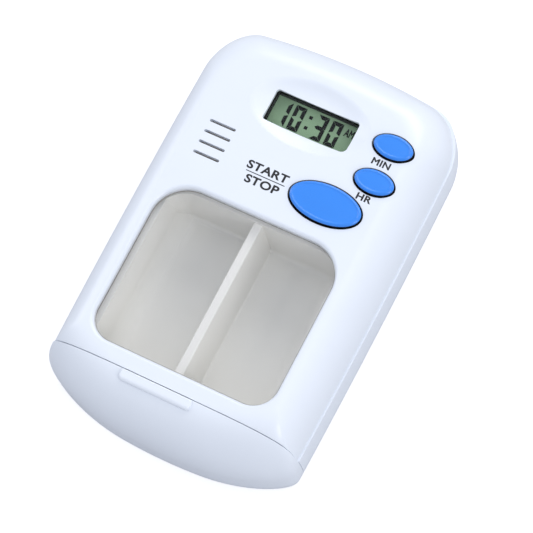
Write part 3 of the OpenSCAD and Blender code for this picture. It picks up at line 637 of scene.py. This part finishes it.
def tray_section(t, top):
    z0 = tray_floor + scoop_r
    angles = [-math.pi / 2 + math.pi / 2 * i / 16 for i in range(17)]
    half = [(floor_half + (scoop_r + t) * math.cos(a), z0 + (scoop_r + t) * math.sin(a))
            for a in angles]
    points = [(-x, z) for x, z in half][::-1]
    return [(-tray_half - t, top)] + points + half + [(tray_half + t, top)]


def along_y(name, section, y0, y1):
    """Section in X and Z carried from y0 to y1."""
    rings = [[(x, y, z) for x, z in section] for y in (y1, y0)]
    return piece_from(name, rings)


def along_x(name, section, x0, x1):
    rings = [[(x, y, z) for y, z in section] for x in (x0, x1)]
    return piece_from(name, rings)


tray = along_y("tray", tray_section(tray_wall, tray_top), front_y - 0.1, in_back + tray_wall)
room = along_y("room", tray_section(0, tray_top + 1), in_front - 1, in_back + 1)
mid, length = (in_back + in_front) / 2, in_back - in_front
room_outline = outline(tray_half + 1, length / 2, -length / 2, (7, 7), (5, 5), no_bow, 14, 2, 2)
room_plan = [(x, y + mid) for x, y in room_outline]
foot_r, wall_lean = 1.6, 0.75


def wall_curve(y_wall, s):
    """Compartment end wall with a rounded foot, from the top to the floor; s points inwards."""
    points = [(y_wall, tray_top + 1)]
    for i in range(9):
        a = math.pi / 2 * i / 8
        points.append((y_wall + s * (wall_lean + foot_r * (1 - math.cos(a))),
                       tray_floor + foot_r - foot_r * math.sin(a)))
    return points


ends = along_x("ends", wall_curve(in_front, 1) + wall_curve(in_back, -1)[::-1], -30, 30)
combine(room, [piece_from("room_plan", [at(room_plan, 0), at(room_plan, 24)]), ends], "INTERSECT")
plate_half, upper_r, lower_r, lower_z = 25.5, 5, 3, 5.4
plate_section = []
for cx, cz, corner_r, a0 in (
        (plate_half - upper_r, tray_top - upper_r, upper_r, 0),
        (upper_r - plate_half, tray_top - upper_r, upper_r, 90),
        (lower_r - plate_half, lower_z, lower_r, 180),
        (plate_half - lower_r, lower_z, lower_r, 270)):
    angles = [math.radians(a0 + 90 * i / 10) for i in range(11)]
    plate_section += [(cx + corner_r * math.cos(a), cz + corner_r * math.sin(a)) for a in angles]
parts = [along_y("front_plate", plate_section, front_y - 1.5, front_y)]
for s in (-1, 1):
    xs = sorted((s * 19.5, s * 21.3))
    parts.append(block("arm", (xs[0], 1.2, 8), (xs[1], 8.1, 16)))
    xs = sorted((s * 19.5, s * 23.2))
    parts.append(block("lug", (xs[0], 6.1, 10), (xs[1], 8.1, 14)))
combine(tray, parts, "UNION")
combine(tray, [room, block("lightening", (-18, front_y + 1.2, tray_floor + 2),
                           (18, in_front - tray_wall, 24))])
foot, half_t, top = 0.55, 1.0, 18.5
divider_section = [(-half_t - foot - 0.5, tray_floor - 0.4),
                   (half_t + foot + 0.5, tray_floor - 0.4), (half_t + foot + 0.5, tray_floor)]
angles = [math.pi / 2 * i / 5 for i in range(6)]
side_curve = [(half_t + foot + 0.5 * (1 - math.sin(a)), tray_floor + 0.5 * (1 - math.cos(a)))
              for a in angles[1:]]
top_curve = [(half_t - 0.4 * (1 - math.cos(a)), top - 0.4 + 0.4 * math.sin(a)) for a in angles]
right_side = side_curve + top_curve
divider_section += right_side + [(-x, z) for x, z in right_side][::-1]
divider_section.append((-half_t - foot - 0.5, tray_floor))
divider = along_y("divider", divider_section, in_front - 0.5, in_back + 0.5)
for piece in (tray, divider):
    finish_edges(piece, 40)
    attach(piece, "drawer")
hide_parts("drawer_tray")
tray_white = plastic("tray_white", (0.80, 0.79, 0.755), 0.38, grain=1800.0, mottle=0.04, IOR=1.5)
dress(tray, tray_white)
dress(divider, tray_white)


# Window pane: clear polished sheet let into the opening from below, welded by its flange.
# Moulded styrene; its cut edge is coloured a half-clear brown, painted shade of the thin gap line.
flange_top = 20.4
pane_profile = ((1.1, 19.5), (1.1, flange_top), (-0.15, flange_top), (-0.15, 20.95), (-0.2, 21.06),
                (-0.3, 21.1))
pane = piece_from("clear_pane", [at(opening_outline(g), z) for g, z in pane_profile])
finish_edges(pane, 30)
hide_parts("window_pane")
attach(pane, "housing")


def clear(name, color, alpha, rough):
    return plastic(name, color, rough, mottle=0.01, grain=900.0, bump=2e-7, IOR=1.49, Alpha=alpha)


clear_plastic = clear("clear_plastic", (0.3, 0.33, 0.35), 0.025, 0.06)
pane_edge_painted_shade = clear("pane_edge_painted_shade", (0.3, 0.25, 0.2), 0.5, 0.2)
dress(pane, clear_plastic, pane_edge_painted_shade)
# Upright edge faces above the flange take the brown: painted shade of the gap round the opening.
for face in pane.data.polygons:
    if abs(face.normal.z) < 0.5 and face.center.z > 0.0204:
        face.material_index = 1
dress(frame["nodes"]["display_lens"], clear_plastic)


# Keys: three blue oval keys with rolled edges, flange and stem. ABS; the flange holds each key in
# under the top wall. Below the blue top each key is coloured black, painted shade of the gap round
# it.
black_plastic = plastic("black_plastic", (0.006, 0.006, 0.006), 0.6, grain=1500.0, IOR=1.5,
                        Specular_IOR_Level=0.25)
key_blue = plastic("key_blue", (0.032, 0.25, 0.86), 0.3, grain=2200.0, mottle=0.05, IOR=1.5,
                   Coat_Weight=0.2, Coat_Roughness=0.15)
crown, painted_shade_depth, stem_r, flange = 23.0, 0.45, 1.6, 0.7


def make_key(name, node, body, where, a, b):
    rings = [at(ellipse(x, y), z, where) for x, y, z in (
        (stem_r, stem_r, 18.0), (stem_r, stem_r, 19.3), (a + flange, b + flange, 19.3),
        (a + flange, b + flange, 20.3), (a, b, 20.3), (a, b, 22.1))]
    for g, z in ((0, -0.5), (0.03, -0.36), (0.09, -0.24), (0.19, -0.14), (0.32, -0.06),
                 (0.44, -0.015), (0.54, 0), (0.62, -0.03), (0.7, -0.08), (0.85, -0.1), (1.1, -0.1),
                 (0.6 * b, -0.07), (0.8 * b, -0.04), (0.95 * b, -0.03)):
        rings.append(at(ellipse(a - g, b - g), crown + z, where))
    key = piece_from(name, rings)
    finish_edges(key, 40)
    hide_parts(node)
    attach(key, body)
    dress(key, key_blue, black_plastic)
    # Faces wholly below the blue top take the black finish: painted shade of the gap round the key.
    for face in key.data.polygons:
        if max(key.data.vertices[i].co.z for i in face.vertices) < (crown - painted_shade_depth) * MM:
            face.material_index = 1


make_key("start_stop_key", "start_stop_button", "start_key", start_at, 8.02, 4.12)
make_key("hour_key", "hour_button", "hour_key", hour_at, 4.36, 2.56)
make_key("minute_key", "minute_button", "minute_key", minute_at, 4.36, 2.56)


# Display: grey-green reflective glass in a matt black frame, behind the window in the dish.
# Its figures are built from the black bars of seven-segment digits and lie on the glass.
lcd_grey = plastic("lcd_grey", (0.255, 0.395, 0.24), 0.45, grain=5200.0, mottle=0.06, cloud=220.0,
                   bump=1e-7, IOR=1.5, Specular_IOR_Level=0.2)
dress(frame["nodes"]["lcd_glass"], lcd_grey)
dress(frame["nodes"]["lcd_holder"], black_plastic)
segment_black = plastic("segment_black", (0.003, 0.004, 0.003), 0.6, grain=3000.0, IOR=1.5,
                        Specular_IOR_Level=0.1)
legend_black = plastic("legend_black", (0.012, 0.012, 0.014), 0.55, grain=1800.0, IOR=1.5)

glass_z = 18.52
lean = -0.03
DIGITS = {"0": "abcdef", "1": "bc", "3": "abcdg"}


def digit_bars(figure, x0, y0, w, h, t):
    """Bars of one seven-segment figure as outlines in millimetres."""
    gap = 0.045
    mid, half_t = h / 2, t / 2
    bars = {
        "a": [(gap, h), (w - gap, h), (w - t, h - t), (t, h - t)],
        "d": [(gap, 0), (t, t), (w - t, t), (w - gap, 0)],
        "g": [(gap * 2, mid), (t * 0.75, mid + half_t), (w - t * 0.75, mid + half_t),
              (w - gap * 2, mid), (w - t * 0.75, mid - half_t), (t * 0.75, mid - half_t)],
        "f": [(0, h - gap), (t - gap, h - t - gap), (t - gap, mid + half_t + gap), (0, mid + gap)],
        "b": [(w, h - gap), (w, mid + gap), (w - t + gap, mid + half_t + gap),
              (w - t + gap, h - t - gap)],
        "e": [(0, gap), (0, mid - gap), (t - gap, mid - half_t - gap), (t - gap, t + gap)],
        "c": [(w, gap), (w - t + gap, t + gap), (w - t + gap, mid - half_t - gap), (w, mid - gap)],
    }
    return [[(x0 + x + y * lean, y0 + y) for x, y in bars[b]] for b in DIGITS[figure]]


def flat_shapes(name, shapes, z, depth=0.02):
    mesh = bpy.data.meshes.new(name)
    work = bmesh.new()
    for shape in shapes:
        low = [work.verts.new((x * MM, y * MM, z * MM)) for x, y in shape]
        high = [work.verts.new((x * MM, y * MM, (z + depth) * MM)) for x, y in shape]
        work.faces.new(high)
        work.faces.new(low[::-1])
        for j in range(len(low)):
            k = (j + 1) % len(low)
            work.faces.new((low[j], low[k], high[k], high[j]))
    bmesh.ops.recalc_face_normals(work, faces=work.faces)
    work.to_mesh(mesh)
    work.free()
    piece = bpy.data.objects.new(name, mesh)
    scene.collection.objects.link(piece)
    return piece


shapes = []
base_y, tall, wide, bar_t = 25.08, 5.68, 2.5, 0.88
dot_x, dot_half = -0.83, 0.37
for figure, x in (("1", -7.85), ("0", -4.62), ("3", 0.68), ("0", 4.0)):
    shapes += digit_bars(figure, x, base_y, wide, tall, bar_t)
for y in (26.85, 29.3):
    shapes.append([(dot_x + dot_half * a, y + dot_half * b)
                   for a, b in ((-1, -1), (1, -1), (1, 1), (-1, 1))])
digits = flat_shapes("display_figures", shapes, glass_z)
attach(digits, "housing")
dress(digits, segment_black)


# Legends: words and a rule printed in black ink beside the keys, flat on the shell.
# The half-day mark lies on the glass in the colour of the figures.
stroke_growth = 0.045


def legend(name, words, low, high, z, material):
    """Bold words fitted between two corners; each stroke grows by stroke_growth on each side."""
    data = bpy.data.curves.new(name, "FONT")
    data.body = words
    data.size = 1.4
    data.space_character = 1.06
    data.resolution_u = 6
    data.fill_mode = "BOTH"
    data.extrude = 0.02
    data.bevel_depth = stroke_growth
    data.bevel_resolution = 1
    text = bpy.data.objects.new(name, data)
    scene.collection.objects.link(text)
    mesh = evaluated_mesh(text)
    bpy.data.objects.remove(text)
    xs, ys = [v.co.x for v in mesh.vertices], [v.co.y for v in mesh.vertices]
    wide = (high[0] - low[0]) / (max(xs) - min(xs))
    tall = (high[1] - low[1]) / (max(ys) - min(ys))
    lift, flat = 0.008, 0.0001
    mesh.transform(Matrix.Translation((low[0] * MM, low[1] * MM, (z + lift) * MM))
                   @ Matrix.Diagonal((MM * wide, MM * tall, flat, 1))
                   @ Matrix.Translation((-min(xs), -min(ys), 0)))
    mark = bpy.data.objects.new(name, mesh)
    scene.collection.objects.link(mark)
    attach(mark, "housing")
    dress(mark, material)


legend("legend_start", "START", (-7.1, 12.95), (2.35, 14.85), top_z, legend_black)
legend("legend_stop", "STOP", (-6.15, 9.95), (1.6, 11.85), top_z, legend_black)
legend("legend_hour", "HR", (16.6, 16.15), (20.0, 17.65), top_z, legend_black)
legend("legend_minute", "MIN", (16.05, 24.35), (20.15, 25.85), top_z, legend_black)
legend("display_half", "AM", (7.05, 28.5), (9.15, 30.3), glass_z, segment_black)
rule_shape = [(-6.75, 12.32), (2.2, 12.32), (2.2, 12.5), (-6.75, 12.5)]
rule = flat_shapes("legend_rule", [rule_shape], top_z)
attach(rule, "housing")
dress(rule, legend_black)


# Inner parts: board, switches, cell, contacts and screws, shown by their own solids.
# Each takes the finish of its slot, such as board resin, tin plate, steel, copper or rubber.
def metal(name, color, rough, grain=1400.0):
    return plastic(name, color, rough, spread=0.15, mottle=0.08, grain=grain, bump=3e-6,
                   Metallic=1.0)


finishes = {
    "board_green": plastic("board_green", (0.02, 0.12, 0.05), 0.3, grain=700.0, mottle=0.3,
                           cloud=900.0, IOR=1.5),
    "black_resin": plastic("black_resin", (0.01, 0.01, 0.01), 0.25, grain=500.0, IOR=1.5),
    "tin_plate": metal("tin_plate", (0.62, 0.62, 0.63), 0.28),
    "screw_steel": metal("screw_steel", (0.5, 0.5, 0.51), 0.33),
    "coil_copper": metal("coil_copper", (0.45, 0.2, 0.1), 0.35),
    "brass_plate": metal("brass_plate", (0.7, 0.5, 0.2), 0.3),
    "ceramic_tan": plastic("ceramic_tan", (0.35, 0.22, 0.12), 0.4, IOR=1.5),
    "contact_rubber": plastic("contact_rubber", (0.5, 0.2, 0.25), 0.6, IOR=1.5),
    "black_plastic": black_plastic,
    "shell_white": shell_white,
}
for entry in frame["record"]["subparts"]:
    node, slot_name = entry["node"], entry["material_slot"]
    if slot_name in finishes and not frame["nodes"][node].hide_render:
        dress(frame["nodes"][node], finishes[slot_name])
